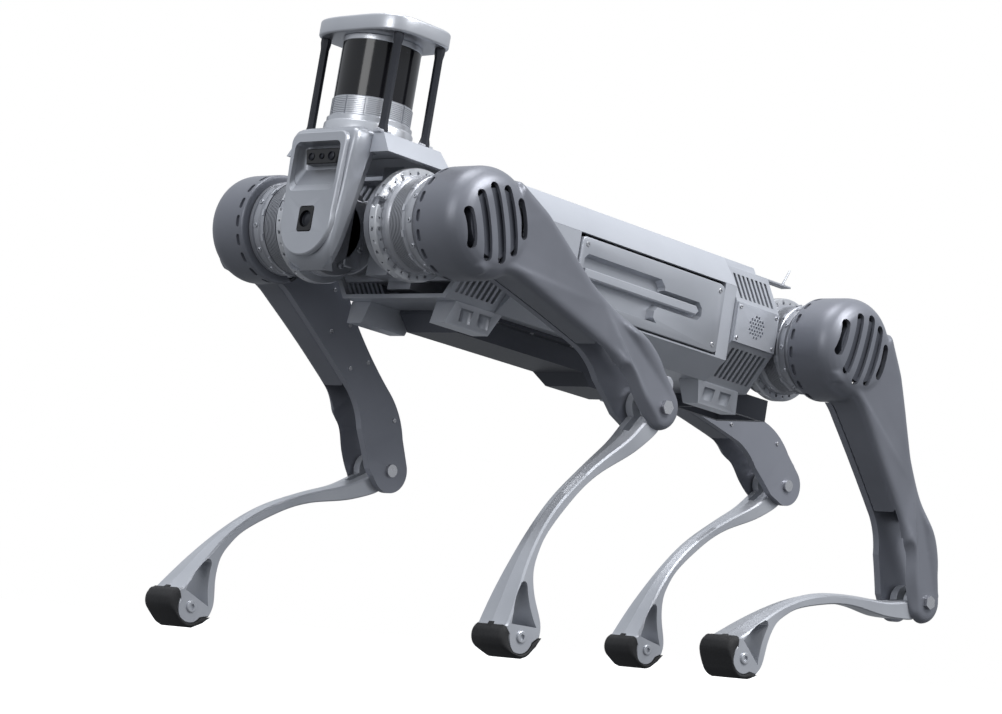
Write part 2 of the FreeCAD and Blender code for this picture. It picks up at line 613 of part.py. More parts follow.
# ---------------------------------------------------------------- knee linkage
def crank(leg):
    """Disc with an arm and a pin that pulls the push rod."""
    side = LEGS[leg][1]
    arm_y = mirrored(side, 6, 12)
    body = fuse(rod("y", (0, 0), arm_y, 18), box(both(8), arm_y, (0, "link_r")),
                rod("y", (0, "link_r"), arm_y, 8.5),
                rod("y", (0, "link_r"), mirrored(side, -4, 7), "link_pin_r"))
    finish(cut(body, rod("y", (0, 0), mirrored(side, 4, 14), "shaft_r + running")), leg + "_crank",
           FRAMES[leg]["crank"])


def push_rod(leg):
    """Bar with an eye at each end; the lower eye has clearance, because it is the open pivot."""
    bar = fuse(box(both(3.5), both(4), ("-thigh_len", 0)), rod("y", (0, 0), both(4), 8),
               rod("y", (0, "-thigh_len"), both(4), 8))
    finish(cut(bar, rod("y", (0, 0), both(6), "link_pin_r + running"),
               rod("y", (0, "-thigh_len"), both(6), "link_pin_r + 0.4")), leg + "_push_rod", FRAMES[leg]["rod"])


# ---------------------------------------------------------------- shin and foot
def calf_outline():
    """The shin seen from the side: down the front, round the foot bolt and back up the rear."""
    foot = -value("calf_len")
    r = value("heel_r")
    toe, lobe_front = (28.5, foot - 5), (r * 0.9, foot - r * 0.43)
    heel, lobe_rear = (-25, foot + 19), (-r * 0.95, foot + r * 0.31)
    return [arc((6, -20), (25, -97), (46, -180)),
            arc((46, -180), (49, -223), (46, -267)),
            arc((46, -267), (38.5, -309), toe),
            line(toe, lobe_front),
            arc(lobe_front, (0, foot - r), lobe_rear),
            line(lobe_rear, heel),
            arc(heel, (-16, foot + 34), (4, foot + 47)),
            arc((4, foot + 47), (28, -276), (36, -240)),
            arc((36, -240), (33, -190), (14, -112)),
            arc((14, -112), (-6, -70), (-19, -20)),
            line((-19, -20), (-19, -2)),
            line((-19, -2), (12, -2)),
            line((12, -2), (6, -20))]


def calf_window():
    """The see-through triangle between the front strut and the rear strut."""
    foot = -value("calf_len")
    return [arc((22, foot + 2), (31, foot + 22), (36.5, foot + 47)),
            arc((36.5, foot + 47), (34, foot + 55), (27, foot + 53)),
            arc((27, foot + 53), (6, foot + 34), (-14, foot + 25)),
            line((-14, foot + 25), (22, foot + 2))]


def calf_front():
    """The shin seen from the front, as (y, z): wide at the knee, slim half way, wide at the foot."""
    foot = -value("calf_len")
    slim, wide = value("shin_half"), value("foot_half")
    points = []
    for s in (1, -1):
        run = [line((s * 20, 2), (s * 20, -46)),
               arc((s * 20, -46), (s * 15.5, -80), (s * slim, -130)),
               line((s * slim, -130), (s * slim, -215)),
               arc((s * slim, -215), (s * (slim + 4.5), -275), (s * wide, foot + 12)),
               line((s * wide, foot + 12), (s * wide, foot - 40))]
        points += run
    return points + [line((20, 2), (-20, 2)), line((wide, foot - 40), (-wide, foot - 40))]


def calf(leg):
    """Shin with a fork of two ears at the knee, the lever behind them, and an open foot triangle."""
    side = LEGS[leg][1]
    blade = side_plate(leg + "_blade", calf_outline(), both(40))
    window = side_plate(leg + "_window", calf_window(), both(50))
    front = side_plate(leg + "_front", calf_front(), ("0 - 80", 80))
    turned_front = new("Part::Compound", "front_view")
    turned_front.Links = [front]
    turned_front.Placement = Placement(Vector(), Rotation(Vector(0, 0, 1), 90))
    gap = box((-40, 40), both(6), (-46, 40))
    ears = [rod("y", (0, 0), mirrored(side, low, high), 20) for low, high in ((6, 18), (-18, -6))]
    levers = [taper(both(14), mirrored(side, low, high), 0, both(9), mirrored(side, low, high), "link_r")
              for low, high in ((6, 11), (-11, -6))]
    lugs = [rod("y", (0, "link_r"), mirrored(side, low, high), 10) for low, high in ((6, 11), (-11, -6))]
    bolt = rod("y", (0, "link_r"), both(13), "link_pin_r")
    knob = rod("y", (0, "-calf_len"), both("foot_half + 1.5"), 8)
    shin = cut(common(blade, turned_front), window, gap, rod("y", (0, 0), both(6), 21))
    bore = rod("y", (0, 0), both(30), "knee_pin_r + running")
    finish(cut(fuse(shin, *ears, *levers, *lugs, bolt, knob), bore), leg + "_calf", FRAMES[leg]["calf"])


def sole_outline():
    """The sole's side view: round under the bolt, with a nose and a heel."""
    foot = -value("calf_len")
    r, lobe = value("foot_radius"), value("sole_lobe_r")
    nose, heel = (14, foot - 12), (-12, foot + 8)
    nose_low = (nose[0] - lobe * 0.02, nose[1] - lobe)
    heel_low = (heel[0] - lobe, heel[1] - lobe * 0.05)
    return [arc((-2, foot + 22), (heel[0] - lobe * 0.8, heel[1] + lobe * 0.6), heel_low),
            line(heel_low, (-r * 0.93, foot - r * 0.3676)),
            arc((-r * 0.93, foot - r * 0.3676), (-r * 0.67, foot - r * 0.7424), (-r * 0.3, foot - r * 0.9539)),
            line((-r * 0.3, foot - r * 0.9539), nose_low),
            arc(nose_low, (nose[0] + lobe * 0.8, nose[1] - lobe * 0.6), (nose[0] + lobe, nose[1])),
            line((nose[0] + lobe, nose[1]), (nose[0] + lobe, foot + 10)),
            line((nose[0] + lobe, foot + 10), (-2, foot + 22))]


def foot(leg):
    """Rubber sole wrapped round the toe and the heel, cut out for the end of the shin."""
    outer = side_plate(leg + "_sole", sole_outline(), both("sole_half"))
    lobe = rod("y", (0, "-calf_len"), both(40), "heel_r + 0.1")
    upper = side_plate(leg + "_sole_room", calf_outline(), both(40))
    above = box((-5, 40), both(40), ("-calf_len - 4.9", "-calf_len + 60"))
    between = box((-24, 22), both(40), ("-calf_len - 6", "-calf_len + 60"))
    finish(cut(outer, lobe, upper, above, between), leg + "_foot", FRAMES[leg]["calf"])


# ---------------------------------------------------------------- assembly
FRAMES = {leg: leg_frames(leg) for leg in LEGS}
for make in (chassis, top_cover, end_housings, fan_plates, roll_motors, battery_case, battery_door,
             control_board, belly_pan, rest_pads, rear_guard, head_shell, face_plate, depth_camera,
             front_camera, sensor_deck, lidar_housing, lidar_window, guard_plate, guard_posts):
    make()
for leg in LEGS:
    for make in (hip_carrier, thigh_motor, thigh_shell, thigh_inner_cover, calf_motor, knee_pin,
                 crank, push_rod, calf, foot):
        make(leg)
doc.recompute()

for item in doc.Objects:
    if "Invalid" in item.State or "Error" in item.State:
        raise RuntimeError("%s failed: %s" % (item.Name, item.State))
os.makedirs("parts", exist_ok=True)
for item in parts:
    shape = item.Shape
    if shape.isNull() or not shape.isValid() or not shape.Solids:
        raise RuntimeError("%s has no valid shape" % item.Label)
    print("%-22s solids %d  volume %.1f cm3" % (item.Label, len(shape.Solids), shape.Volume / 1000))
    shape.exportStep(os.path.join("parts", item.Label + ".step"))
for leg in LEGS:
    print("%s calf fold %.3f" % (leg, FRAMES[leg]["fold"]))
whole = FreeCAD.BoundBox()
for item in parts:
    whole.add(item.Shape.optimalBoundingBox())
print("%d sub-parts, x %.3f to %.3f, y %.3f to %.3f, z %.3f to %.3f" % (
    len(parts), whole.XMin, whole.XMax, whole.YMin, whole.YMax, whole.ZMin, whole.ZMax))
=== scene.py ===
"""Looks for the four-legged walking robot: materials, fine detail, floor, light and camera."""
import json
import math

import bmesh
import bpy
import numpy as np
from mathutils import Matrix, Vector


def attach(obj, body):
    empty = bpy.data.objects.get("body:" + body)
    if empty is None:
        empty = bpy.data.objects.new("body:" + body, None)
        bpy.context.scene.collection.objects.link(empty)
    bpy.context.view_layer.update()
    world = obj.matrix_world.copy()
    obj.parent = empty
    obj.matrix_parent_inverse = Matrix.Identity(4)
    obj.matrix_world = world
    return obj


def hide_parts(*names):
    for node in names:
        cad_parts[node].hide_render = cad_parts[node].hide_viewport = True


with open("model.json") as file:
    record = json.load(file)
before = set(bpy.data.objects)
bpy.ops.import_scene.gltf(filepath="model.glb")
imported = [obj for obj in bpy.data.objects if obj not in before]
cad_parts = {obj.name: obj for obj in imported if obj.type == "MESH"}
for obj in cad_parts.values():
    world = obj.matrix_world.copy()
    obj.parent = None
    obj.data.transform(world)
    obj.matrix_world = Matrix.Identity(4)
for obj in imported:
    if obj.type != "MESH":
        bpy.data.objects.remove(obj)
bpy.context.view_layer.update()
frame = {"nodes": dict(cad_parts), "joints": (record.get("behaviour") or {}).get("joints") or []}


# ---------------------------------------------------------------- materials
def noise(nodes, links, where, scale, detail):
    """Noise that stays fixed to the piece."""
    texture = nodes.new("ShaderNodeTexNoise")
    texture.inputs["Scale"].default_value = scale
    texture.inputs["Detail"].default_value = detail
    links.new(where.outputs["Object"], texture.inputs["Vector"])
    return texture


def worn_edges(nodes, links, colour, accent, wear):
    """The colour, brightened where the surface is most convex."""
    shape = nodes.new("ShaderNodeNewGeometry")
    edge = nodes.new("ShaderNodeMapRange")
    edge.inputs["From Min"].default_value = 0.53
    edge.inputs["From Max"].default_value = 0.62
    edge.inputs["To Max"].default_value = wear
    links.new(shape.outputs["Pointiness"], edge.inputs["Value"])
    mix = nodes.new("ShaderNodeMix")
    mix.data_type = "RGBA"
    mix.inputs["B"].default_value = (*[min(1.0, c * 1.9 + 0.05) for c in accent], 1)
    links.new(edge.outputs["Result"], mix.inputs["Factor"])
    links.new(colour, mix.inputs["A"])
    return mix.outputs["Result"]


def finish_material(name, base, accent, metallic, rough, grain, bump, wear=0.0, vary=0.12):
    """A procedural finish: slow tone change, fine grain in roughness and bump, brighter worn edges."""
    mat = bpy.data.materials.new(name)
    mat.use_nodes = True
    nodes, links = mat.node_tree.nodes, mat.node_tree.links
    shader = nodes["Principled BSDF"]
    shader.inputs["Metallic"].default_value = metallic
    where = nodes.new("ShaderNodeTexCoord")
    slow = noise(nodes, links, where, 9.0, 4.0)
    fine = noise(nodes, links, where, grain, 3.0)

    tone = nodes.new("ShaderNodeValToRGB")
    for stop, position, colour in zip(tone.color_ramp.elements, (0.3, 0.7), (base, accent)):
        stop.position = position
        stop.color = (*colour, 1)
    links.new(slow.outputs["Fac"], tone.inputs["Fac"])
    colour = tone.outputs["Color"]
    if wear:
        colour = worn_edges(nodes, links, colour, accent, wear)
    links.new(colour, shader.inputs["Base Color"])

    gloss = nodes.new("ShaderNodeMapRange")
    gloss.inputs["To Min"].default_value = max(0.03, rough - vary)
    gloss.inputs["To Max"].default_value = min(1.0, rough + vary)
    links.new(fine.outputs["Fac"], gloss.inputs["Value"])
    links.new(gloss.outputs["Result"], shader.inputs["Roughness"])

    relief = nodes.new("ShaderNodeBump")
    relief.inputs["Strength"].default_value = bump
    relief.inputs["Distance"].default_value = 0.0004
    links.new(fine.outputs["Fac"], relief.inputs["Height"])
    links.new(relief.outputs["Normal"], shader.inputs["Normal"])
    return mat


MATERIALS = {
    "silver_shell": finish_material(
        "silver_paint", (0.36, 0.375, 0.41), (0.42, 0.435, 0.47),
        metallic=0.5, rough=0.36, grain=260, bump=0.03, wear=0.3, vary=0.04),
    "face_panel": finish_material(
        "face_grey", (0.40, 0.415, 0.45), (0.46, 0.475, 0.51),
        metallic=0.5, rough=0.32, grain=260, bump=0.03, wear=0.2, vary=0.04),
    "dark_casting": finish_material(
        "dark_casting", (0.048, 0.052, 0.066), (0.066, 0.071, 0.086),
        metallic=0.4, rough=0.45, grain=400, bump=0.1, wear=0.2, vary=0.05),
    "bright_alloy": finish_material(
        "bright_alloy", (0.5, 0.515, 0.55), (0.6, 0.615, 0.65),
        metallic=0.7, rough=0.32, grain=140, bump=0.006, wear=0.2, vary=0.03),
    "black_post": finish_material(
        "black_post", (0.012, 0.014, 0.02), (0.02, 0.022, 0.03),
        metallic=0.3, rough=0.38, grain=300, bump=0.05, wear=0.2),
    "dark_window": finish_material(
        "dark_window", (0.004, 0.004, 0.005), (0.008, 0.008, 0.01),
        metallic=0.0, rough=0.12, grain=300, bump=0.02, vary=0.04),
    "motor_alloy": finish_material(
        "motor_alloy", (0.34, 0.35, 0.38), (0.46, 0.47, 0.50),
        metallic=0.7, rough=0.34, grain=140, bump=0.006, wear=0.3, vary=0.03),
    "battery_case": finish_material(
        "battery_case", (0.30, 0.31, 0.34), (0.36, 0.37, 0.40),
        metallic=0.4, rough=0.42, grain=800, bump=0.15, wear=0.3),
    "circuit_board": finish_material(
        "circuit_board", (0.01, 0.05, 0.03), (0.02, 0.09, 0.05),
        metallic=0.1, rough=0.5, grain=400, bump=0.3),
    "grey_shell": finish_material(
        "grey_shell", (0.18, 0.188, 0.215), (0.215, 0.223, 0.255),
        metallic=0.45, rough=0.40, grain=260, bump=0.03, wear=0.25, vary=0.04),
    "steel": finish_material(
        "steel", (0.5, 0.5, 0.52), (0.6, 0.6, 0.62),
        metallic=1.0, rough=0.28, grain=240, bump=0.02, wear=0.2, vary=0.03),
    "shin_alloy": finish_material(
        "shin_alloy", (0.44, 0.455, 0.49), (0.56, 0.575, 0.61),
        metallic=0.55, rough=0.32, grain=120, bump=0.004, vary=0.02),
    "rubber": finish_material(
        "rubber", (0.012, 0.012, 0.013), (0.022, 0.022, 0.024),
        metallic=0.0, rough=0.75, grain=350, bump=0.6),
}


def paint(obj, slot_name):
    """Gives a piece the finish of one of the record's material slots."""
    obj.data.materials.clear()
    obj.data.materials.append(MATERIALS[slot_name])


def paint_nodes():
    """Gives each CAD node the finishes of its own slots."""
    for node in frame["nodes"].values():
        for slot in node.material_slots:
            key = (slot.material.name if slot.material else "").split(".")[0]
            if key in MATERIALS:
                slot.material = MATERIALS[key]


paint_nodes()


# ---------------------------------------------------------------- frames, in millimetres
MM = Matrix.Scale(0.001, 4)
THIGH, SHIN, FOOT_DROP = 350.0, 350.0, 25.0
HIP_X, ROLL_Y = 328.5, 72.0
MAST_X, POST_X, POST_Y = 352.0, 33.5, 64.0
JOINTS = {joint["name"]: joint for joint in frame["joints"]}
SIDES = {"fl": 1, "fr": -1, "rl": 1, "rr": -1}
ACROSS = Vector((0, 1, 0))


def frame_at(origin, up):
    """A frame in metres whose z axis is up and whose y axis is the row's."""
    turned = Matrix((ACROSS.cross(up), ACROSS, up)).transposed().to_4x4()
    return Matrix.Translation(origin) @ turned @ MM


def trunk_frame():
    """Frame midway between the four hips, with its x axis raised by the trunk's pitch."""
    middle = (0.12264, 0, 0.4563)
    pitch = math.radians(5.57)
    return frame_at(middle, Vector((-math.sin(pitch), 0, math.cos(pitch))))


def leg_frames(leg):
    """Thigh and calf frames from the joints' places; the foot bolt stands one sole above the floor."""
    hip = Vector(JOINTS[leg + "_thigh_pitch"]["pos_m"])
    knee = Vector(JOINTS[leg + "_knee"]["pos_m"])
    lean = -math.acos((knee.z * 1000 - FOOT_DROP) / SHIN)
    return (frame_at(hip, (hip - knee).normalized()),
            frame_at(knee, Vector((math.sin(lean), 0, math.cos(lean)))))


TRUNK = trunk_frame()
FRAMES = {leg: leg_frames(leg) for leg in SIDES}


def shift(x=0.0, y=0.0, z=0.0):
    return Matrix.Translation((x, y, z))


def turn(angle, axis):
    return Matrix.Rotation(angle, 4, axis)


def around(count, start=0.5):
    """Angles of that many places round a circle; start is the first one's, in steps."""
    return [2 * math.pi * (n + start) / count for n in range(count)]


# ---------------------------------------------------------------- mesh helpers
def link(name, mesh):
    """A new object in the scene with that mesh."""
    obj = bpy.data.objects.new(name, mesh)
    bpy.context.scene.collection.objects.link(obj)
    return obj


def discard(*items):
    for item in items:
        bpy.data.objects.remove(item)


def move(obj, matrix):
    """Moves the object's mesh."""
    obj.data.transform(matrix)
    return obj


def make(name, verts, faces):
    """A closed mesh with its faces turned outwards."""
    mesh = bpy.data.meshes.new(name)
    mesh.from_pydata([tuple(v) for v in verts], [], faces)
    work = bmesh.new()
    work.from_mesh(mesh)
    bmesh.ops.recalc_face_normals(work, faces=work.faces)
    work.to_mesh(mesh)
    work.free()
    return link(name, mesh)


def skin(name, rings):
    """A closed solid through rings of points that all have the same count."""
    count = len(rings[0])
    verts = [point for ring in rings for point in ring]
    faces = []
    for low in range(0, len(verts) - count, count):
        high = low + count
        for i in range(count):
            after = (i + 1) % count
            faces.append((low + i, low + after, high + after, high + i))
    faces.append(tuple(range(count)))
    faces.append(tuple(range(len(verts) - count, len(verts))))
    return make(name, verts, faces)


def arc(first, middle, last, pitch):
    """Points along the arc through three points, without the first one."""
    (ax, ay), (bx, by), (cx, cy) = first, middle, last
    d = 2 * (ax * (by - cy) + bx * (cy - ay) + cx * (ay - by))
    if abs(d) < 1e-6:
        return [last]
    sa, sb, sc = ax * ax + ay * ay, bx * bx + by * by, cx * cx + cy * cy
    centre = Vector(((sa * (by - cy) + sb * (cy - ay) + sc * (ay - by)) / d,
                     (sa * (cx - bx) + sb * (ax - cx) + sc * (bx - ax)) / d))
    radius = (first - centre).length
    start, halfway, end = (math.atan2(*reversed(p - centre)) for p in (first, middle, last))
    sweep = (end - start) % (2 * math.pi)
    if (halfway - start) % (2 * math.pi) > sweep:
        sweep -= 2 * math.pi
    count = max(2, int(abs(sweep) * radius / pitch))
    angles = [start + sweep * n / count for n in range(1, count + 1)]
    return [centre + radius * Vector((math.cos(a), math.sin(a))) for a in angles]


def trace(start, *steps, pitch=4.0):
    """Points along lines and three-point arcs; a step is an end point, or a pair of middle and end."""
    points = [Vector(start)]
    for step in steps:
        first = points[-1]
        if isinstance(step[0], tuple):
            points += arc(first, Vector(step[0]), Vector(step[1]), pitch)
        else:
            last = Vector(step)
            count = max(1, int((last - first).length / pitch))
            points += [first.lerp(last, n / count) for n in range(1, count + 1)]
    if (points[0] - points[-1]).length < 0.01:
        points.pop()
    return points


def inset(points, amount):
    """The closed outline moved inwards."""
    nexts = points[1:] + points[:1]
    area = sum(p.x * q.y - q.x * p.y for p, q in zip(points, nexts))
    way = 1 if area > 0 else -1
    moved = []
    for before, here, after in zip(points[-1:] + points[:-1], points, nexts):
        one = (here - before).normalized()
        two = (after - here).normalized()
        normal = Vector((-(one.y + two.y), one.x + two.x)) * way
        if normal.length < 1e-6:
            normal = Vector((-one.y, one.x)) * way
        normal.normalize()
        lean = max(0.5, normal.dot(Vector((-two.y, two.x)) * way))
        moved.append(here + normal * (amount / lean))
    return moved


def plate(name, points, levels, axis="y"):
    """A slab with that outline; levels are (height, inset) pairs along the axis."""
    seat = {"x": lambda p, h: (h, p.x, p.y),
            "y": lambda p, h: (p.x, h, p.y),
            "z": lambda p, h: (p.x, p.y, h)}[axis]
    return skin(name, [[seat(p, height) for p in inset(points, amount)] for height, amount in levels])


def soft(low, high, radius, steps=3):
    """Levels of a slab whose rims are rounded by radius."""
    angles = [math.pi / 2 * n / steps for n in range(steps, -1, -1)]
    first = [(low + radius * (1 - math.sin(a)), radius * (1 - math.cos(a))) for a in angles]
    return first + [(low + high - height, amount) for height, amount in reversed(first)]


def lathe(name, profile, axis="y", steps=64):
    """A solid of revolution; profile is (radius, height) pairs from one end to the other."""
    seat = {"x": lambda r, h, a: (h, r * math.cos(a), r * math.sin(a)),
            "y": lambda r, h, a: (r * math.cos(a), h, r * math.sin(a)),
            "z": lambda r, h, a: (r * math.cos(a), r * math.sin(a), h)}[axis]
    thinnest = 0.05
    return skin(name, [[seat(max(r, thinnest), h, a) for a in around(steps, 0)] for r, h in profile])


def block(name, x, y, z):
    """A plain box, used to cut with."""
    return make(name, [(a, b, c) for a in x for b in y for c in z],
                [(0, 1, 3, 2), (4, 6, 7, 5), (0, 4, 5, 1), (2, 3, 7, 6), (0, 2, 6, 4), (1, 5, 7, 3)])


def gather(name, meshes):
    """Several meshes as one object."""
    work = bmesh.new()
    for mesh in meshes:
        work.from_mesh(mesh)
    whole = bpy.data.meshes.new(name)
    work.to_mesh(whole)
    work.free()
    return link(name, whole)


def join(name, items):
    """Several objects as one."""
    whole = gather(name, [item.data for item in items])
    discard(*items)
    return whole


def copies(item, matrices):
    """One object that repeats item at each matrix."""
    meshes = []
    for matrix in matrices:
        mesh = item.data.copy()
        mesh.transform(matrix)
        meshes.append(mesh)
    whole = gather(item.name, meshes)
    discard(item)
    return whole


def bake(obj):
    """The object's modifiers, made part of its mesh."""
    depsgraph = bpy.context.evaluated_depsgraph_get()
    mesh = bpy.data.meshes.new_from_object(obj.evaluated_get(depsgraph))
    obj.modifiers.clear()
    obj.data = mesh
    return obj


def carve(obj, *tools, solver="MANIFOLD"):
    """Cuts each tool out of obj and removes the tool."""
    for tool in tools:
        step = obj.modifiers.new("carve", "BOOLEAN")
        step.operation, step.object, step.solver = "DIFFERENCE", tool, solver
        bake(obj)
        discard(tool)
    return obj


def melt(obj, voxel, rounds):
    """Joins overlapping solids into one skin and softens its edges."""
    step = obj.modifiers.new("melt", "REMESH")
    step.mode, step.voxel_size = "VOXEL", voxel
    ease = obj.modifiers.new("ease", "SMOOTH")
    ease.factor, ease.iterations = 0.5, rounds
    return bake(obj)


def bevel(obj, width, angle, segments):
    """A modifier that rounds edges sharper than the angle; the width is in the object's own unit."""
    step = obj.modifiers.new("edges", "BEVEL")
    step.width, step.segments, step.limit_method = width, segments, "ANGLE"
    step.angle_limit = math.radians(angle)
    return obj


def shade(obj, angle):
    """Smooth shading that keeps edges sharper than the angle."""
    work = bmesh.new()
    work.from_mesh(obj.data)
    for face in work.faces:
        face.smooth = True
    limit = math.radians(angle)
    for edge in work.edges:
        edge.smooth = not (len(edge.link_faces) == 2 and edge.calc_face_angle(0) > limit)
    work.to_mesh(obj.data)
    work.free()


def place(obj, name, where, body, slot_name, replaces=(), side=1, angle=32):
    """Puts a copy in its frame, mirrored for the right side, painted and riding on its body."""
    mesh = obj.data.copy()
    if side < 0:
        mesh.transform(Matrix.Diagonal((1, -1, 1, 1)))
        mesh.flip_normals()
    mesh.transform(where)
    piece = link(name, mesh)
    shade(piece, angle)
    paint(piece, slot_name)
    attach(piece, body)
    if replaces:
        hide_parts(*replaces)


def settle(obj, name, slot_name, replaces=(), angle=32, body="trunk"):
    """Places a piece that occurs once in the trunk's frame."""
    place(obj, name, TRUNK, body, slot_name, replaces, 1, angle)
    discard(obj)


def spline(points):
    """A natural cubic spline through (position, value) pairs, as a function."""
    xs, ys = np.array(sorted(points), float).T
    n = len(xs)
    h = np.diff(xs)
    rows, right = np.eye(n), np.zeros(n)
    for i in range(1, n - 1):
        rows[i, i - 1:i + 2] = h[i - 1], 2 * (h[i - 1] + h[i]), h[i]
        right[i] = 6 * ((ys[i + 1] - ys[i]) / h[i] - (ys[i] - ys[i - 1]) / h[i - 1])
    bend = np.linalg.solve(rows, right)

    def at(x):
        i = int(np.clip(np.searchsorted(xs, x) - 1, 0, n - 2))
        a, b = xs[i + 1] - x, x - xs[i]
        cubic = (bend[i] * a ** 3 + bend[i + 1] * b ** 3) / (6 * h[i])
        left = (ys[i] / h[i] - bend[i] * h[i] / 6) * a
        return float(cubic + left + (ys[i + 1] / h[i] - bend[i + 1] * h[i] / 6) * b)
    return at


def screw(radius, height, axis="z"):
    """A cap screw's head with a hexagonal socket, standing on zero."""
    head = lathe("screw", [(radius * 0.98, 0), (radius, height * 0.25), (radius, height * 0.8),
                           (radius * 0.86, height), (radius * 0.2, height)], axis, 24)
    socket = lathe("socket", [(radius * 0.5, height * 0.35), (radius * 0.5, height * 1.4)], axis, 6)
    return carve(head, socket)


# ---------------------------------------------------------------- thigh
def thigh_outline():
    knee = -THIGH
    return trace((-66, -4), (-65, -60), ((-57, -118), (-49, -169)), ((-47.5, -212), (-50, -262)),
                 ((-48.5, -300), (-38, knee + 22)), (-26.6, knee - 8.7), ((0, knee - 28), (28, knee)),
                 (28, knee + 22), ((19, -300), (13, -279)), ((3.5, -254), (1.5, -230)),
                 ((10, -165), (23, -82)), ((32, -52), (60, -20)), (60, -4), (-66, -4))


def arm_mesh():
    """The arm's slab, with its outer face and its front facet bent to their curves."""
    outer = 30
    arm = plate("arm", thigh_outline(), [(-20, 0), (-10, 0), (0, 0), (8, 0), (14, 0), (18, 0), (22, 0.4),
                                         (25, 1.6), (27.5, 3.6), (29.2, 6.5), (outer, 10)])
    face = spline([(-400, 30), (-345, 30), (-290, 30), (-262, 29.5), (-234, 24), (-200, 23),
                   (-150, 24.5), (-90, 28), (-40, 30), (0, 30)])
    facet = spline([(-400, 40), (-362, 24), (-345, 17), (-305, 5), (-268, -5), (-250, 12), (-235, 40)])
    for vert in arm.data.vertices:
        if vert.co.y > 0:
            vert.co.y *= face(vert.co.z) / outer
        if -395 < vert.co.z < -236:
            vert.co.x = min(vert.co.x, facet(vert.co.z) + (outer - vert.co.y) * 1.25)
    return arm


def vent_slots():
    """Five slightly bowed slots with round ends, slanting across the dome."""
    half, bow = 6.2, 0.07
    across, along = Vector((1, 1)).normalized(), Vector((-1, 1)).normalized()
    slots = []
    for centre, reach in ((42, 18), (21, 35), (0, 41), (-20, 35), (-40, 18)):
        line = [Vector((centre - bow * reach * (1 - (n / 12) ** 2) + 1, reach * n / 12))
                for n in range(-12, 13)]
        left = [p + Vector((-half, 0)) for p in line]
        right = [p + Vector((half, 0)) for p in line]
        caps = []
        for end, start in ((line[0], math.pi), (line[-1], 0)):
            angles = [start + math.pi * k / 8 for k in range(1, 8)]
            caps.append([end + Vector((half * math.cos(a), half * math.sin(a))) for a in angles])
        ring = left[::-1] + caps[0] + right + caps[1]
        slots.append(plate("slot", [across * p.x + along * p.y for p in ring], [(10, 0), (40, 0)]))
    return join("slots", slots)


def rim_slots():
    """Short slots through the dome's rim, all the way round the hip."""
    outline = trace((-4.4, -2.9), (4.4, -2.9), ((7.3, 0), (4.4, 2.9)), (-4.4, 2.9),
                    ((-7.3, 0), (-4.4, -2.9)), pitch=2)
    slot = plate("rim_slot", outline, [(62.5, 0), (70, 0)], "z")
    return copies(slot, [shift(y=-32.5) @ turn(a, "Y") for a in around(18)])


def thigh_mesh():
    """Hip dome, arm and knee fork in one soft skin, with its vents and its hollow."""
    dome = lathe("dome", [(30, -41), (65, -41), (66, -39.5), (66, 4), (65.2, 11), (63, 17), (59, 23),
                          (53, 28), (45, 31.5), (34, 33), (18, 33.3), (0, 33.3)], steps=96)
    shell = melt(join("thigh", [arm_mesh(), dome]), 1.9, 7)
    inside = lathe("inside", [(52, -46), (57, -30), (57, 4), (55, 15), (49, 23.5), (33, 29), (0, 30)])
    room = plate("room", trace((-44, -262), (-44, -215), (-45, -165), (-49, -125), (-56, -30), (30, -30),
                               (8, -125), (4, -165), (2, -215), (5, -262), (-44, -262), pitch=30),
                 [(-50, 0), (17, 0)])
    fork = block("fork", (-80, 60), (-50, 20), (-420, -258))
    return carve(shell, inside, room, fork, vent_slots(), rim_slots())


# ---------------------------------------------------------------- calf and foot
FOOT_ROUND = 20.0


def shin_mesh():
    """Curved shin with a ridge down its front, wide at the knee and the foot."""
    front = spline([(0, 3), (-20, 7), (-58, 13), (-97, 25), (-140, 37.5), (-180, 46), (-223, 49),
                    (-267, 46), (-309, 38.5), (-340, 31.6), (-355, 28.5)])
    rear = spline([(0, -19), (-20, -19), (-44, -13.5), (-70, -5), (-112, 14), (-150, 26.5),
                   (-190, 33.2), (-222, 36.2), (-240, 36), (-258, 33), (-276, 27.5), (-291, 17),
                   (-303, 3.5), (-316, -15.5), (-331, -25)])
    wide = spline([(0, 19), (-46, 19), (-80, 15.5), (-130, 12), (-170, 11.8), (-215, 12.2),
                   (-275, 16.6), (-320, 22.6), (-340, 24.4), (-380, 24.5)])
    levels = [-20 - 3.2 * n for n in range(97)] + [-331, -335, -340, -344, -348, -352, -355, -356, -358.6]
    levels += [-SHIN - FOOT_ROUND * math.sin(math.radians(a)) for a in (33, 42, 52, 62, 72, 80)]
    rings = []
    for z in levels:
        sole = math.sqrt(max(0.5, FOOT_ROUND ** 2 - (z + SHIN) ** 2))
        xf = front(z) if z > -355.5 else (27.5 if z > -357 else sole)
        xr = rear(z) if z >= -331 else (-25 - (z + 331) * 0.47 if z > -344 else -sole)
        w = wide(z)
        ridge = 2.2 if z > -355 else 0.4
        chamfer = min(2.2, 0.2 * (xf - xr))
        half = [(xf, 0), (xf - ridge * 0.12, 1.0), (xf - ridge, w - chamfer), (xf - ridge - chamfer, w),
                (xr + chamfer * 0.7, w), (xr, w - chamfer * 0.7)]
        ring = half + [(x, -y) for x, y in reversed(half[1:])]
        rings.append([(x, y, z) for x, y in ring])
    return skin("shin", rings)


